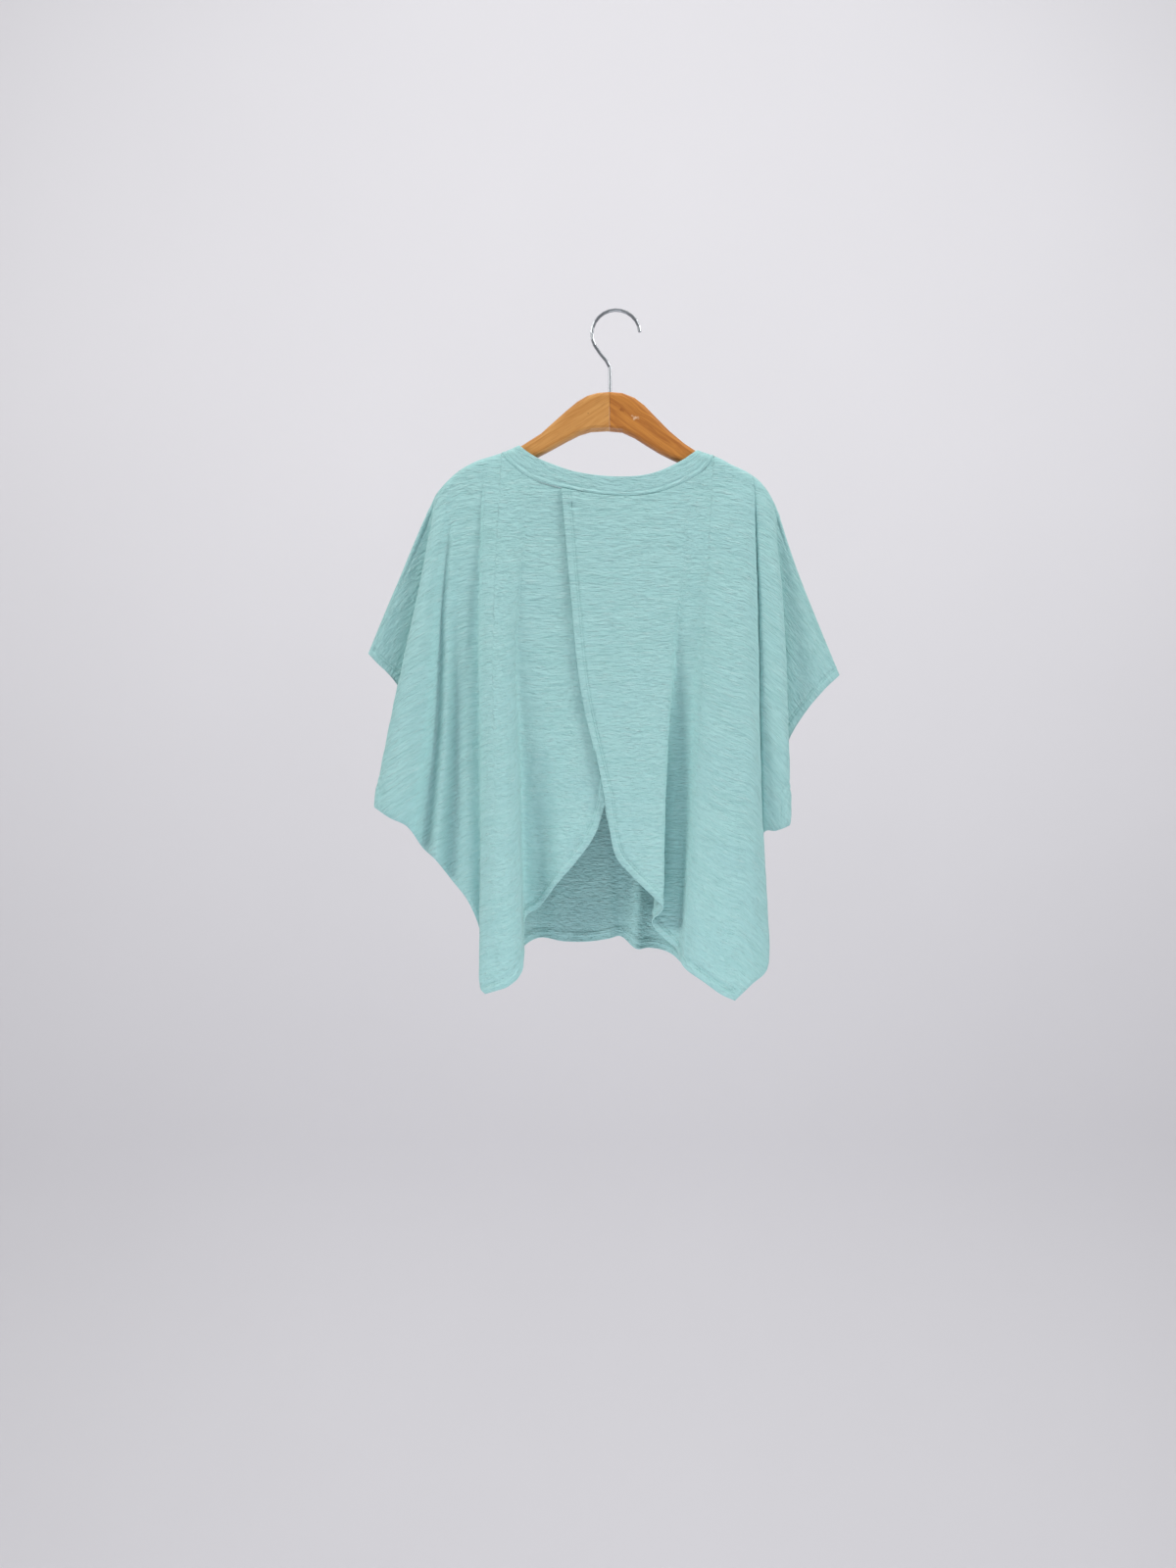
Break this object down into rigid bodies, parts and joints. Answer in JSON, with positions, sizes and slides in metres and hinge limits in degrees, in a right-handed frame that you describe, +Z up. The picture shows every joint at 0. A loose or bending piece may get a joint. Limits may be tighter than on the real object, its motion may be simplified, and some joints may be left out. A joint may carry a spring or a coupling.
{
  "type": "boxy t-shirt on a wooden hanger",
  "caption": "Boxy t-shirt with sleeves cut in one and an overlapping split back, hanging in soft folds from a wooden hanger with a wire hook.",
  "frame": {"origin": "the inside top of the hanger's hook, where a rail or nail carries it", "axes": "+Z up, +X to the right for someone who looks at the shirt's back, -Y towards that viewer, so the back panels face -Y and the front panel faces +Y"},
  "size_m": [0.5298, 0.0743, 0.7681],
  "materials": {
    "knit": "soft slub cotton knit, mint green",
    "light_wood": "clear satin varnish",
    "dark_wood": "clear satin varnish",
    "hook_wire": "bright plated wire"
  },
  "bodies": {
    "root": {"back_left": "knit", "back_right": "knit", "front": "knit", "neckband": "knit", "hanger_arm_left": "light_wood", "hanger_arm_right": "dark_wood", "hanger_hook": "hook_wire"}
  },
  "joints": []
}
